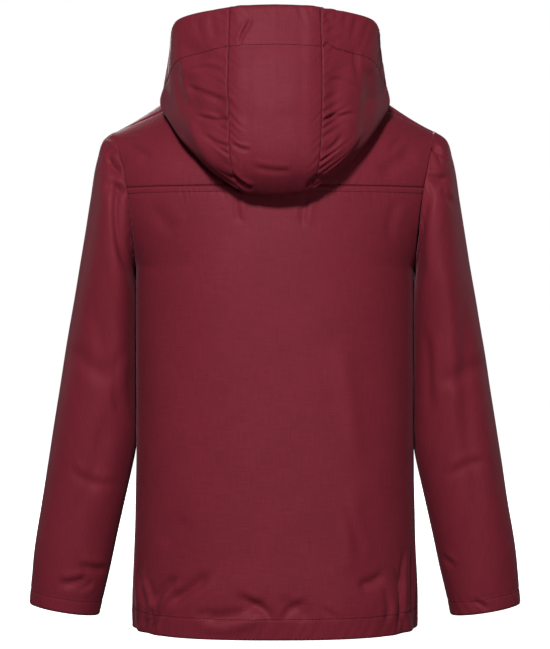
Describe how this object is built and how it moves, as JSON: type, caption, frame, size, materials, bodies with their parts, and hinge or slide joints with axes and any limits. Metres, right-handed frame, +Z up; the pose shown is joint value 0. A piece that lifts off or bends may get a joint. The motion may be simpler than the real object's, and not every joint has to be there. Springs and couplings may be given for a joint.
{
  "type": "windbreaker",
  "caption": "Child's hooded windbreaker with a back yoke, set-in sleeves and a front zip, filled out as worn with its hood hanging down the back.",
  "frame": {"origin": "in the middle of the neck at the height of the shoulders, where the wearer carries the jacket", "axes": "+Z up, the zipped front faces -Y, the wearer's left is +X"},
  "size_m": [0.5416, 0.2695, 0.6608],
  "materials": {
    "shell_fabric": "coated plain weave, burgundy, slight sheen",
    "zip_tape": "woven tape, burgundy",
    "zip_plastic": "moulded, burgundy",
    "zip_metal": "dark nickel plate"
  },
  "bodies": {
    "jacket": {"back_body": "shell_fabric", "back_yoke": "shell_fabric", "front_left": "shell_fabric", "front_right": "shell_fabric", "sleeve_left": "shell_fabric", "sleeve_right": "shell_fabric", "hood_centre": "shell_fabric", "hood_left": "shell_fabric", "hood_right": "shell_fabric", "zip_tape_left": "zip_tape", "zip_tape_right": "zip_tape", "zip_chain": "zip_plastic", "zip_retainer": "zip_plastic", "zip_slider": "zip_metal", "zip_bail": "zip_metal"},
    "pull_tab": {"zip_pull": "zip_metal"}
  },
  "joints": [
    {"name": "pull_tab_swing", "type": "hinge", "parent": "jacket", "child": "pull_tab", "pos_m": [0, -0.08734, -0.06377], "axis": [-1, 0, 0], "range_deg": [0, 150]}
  ]
}
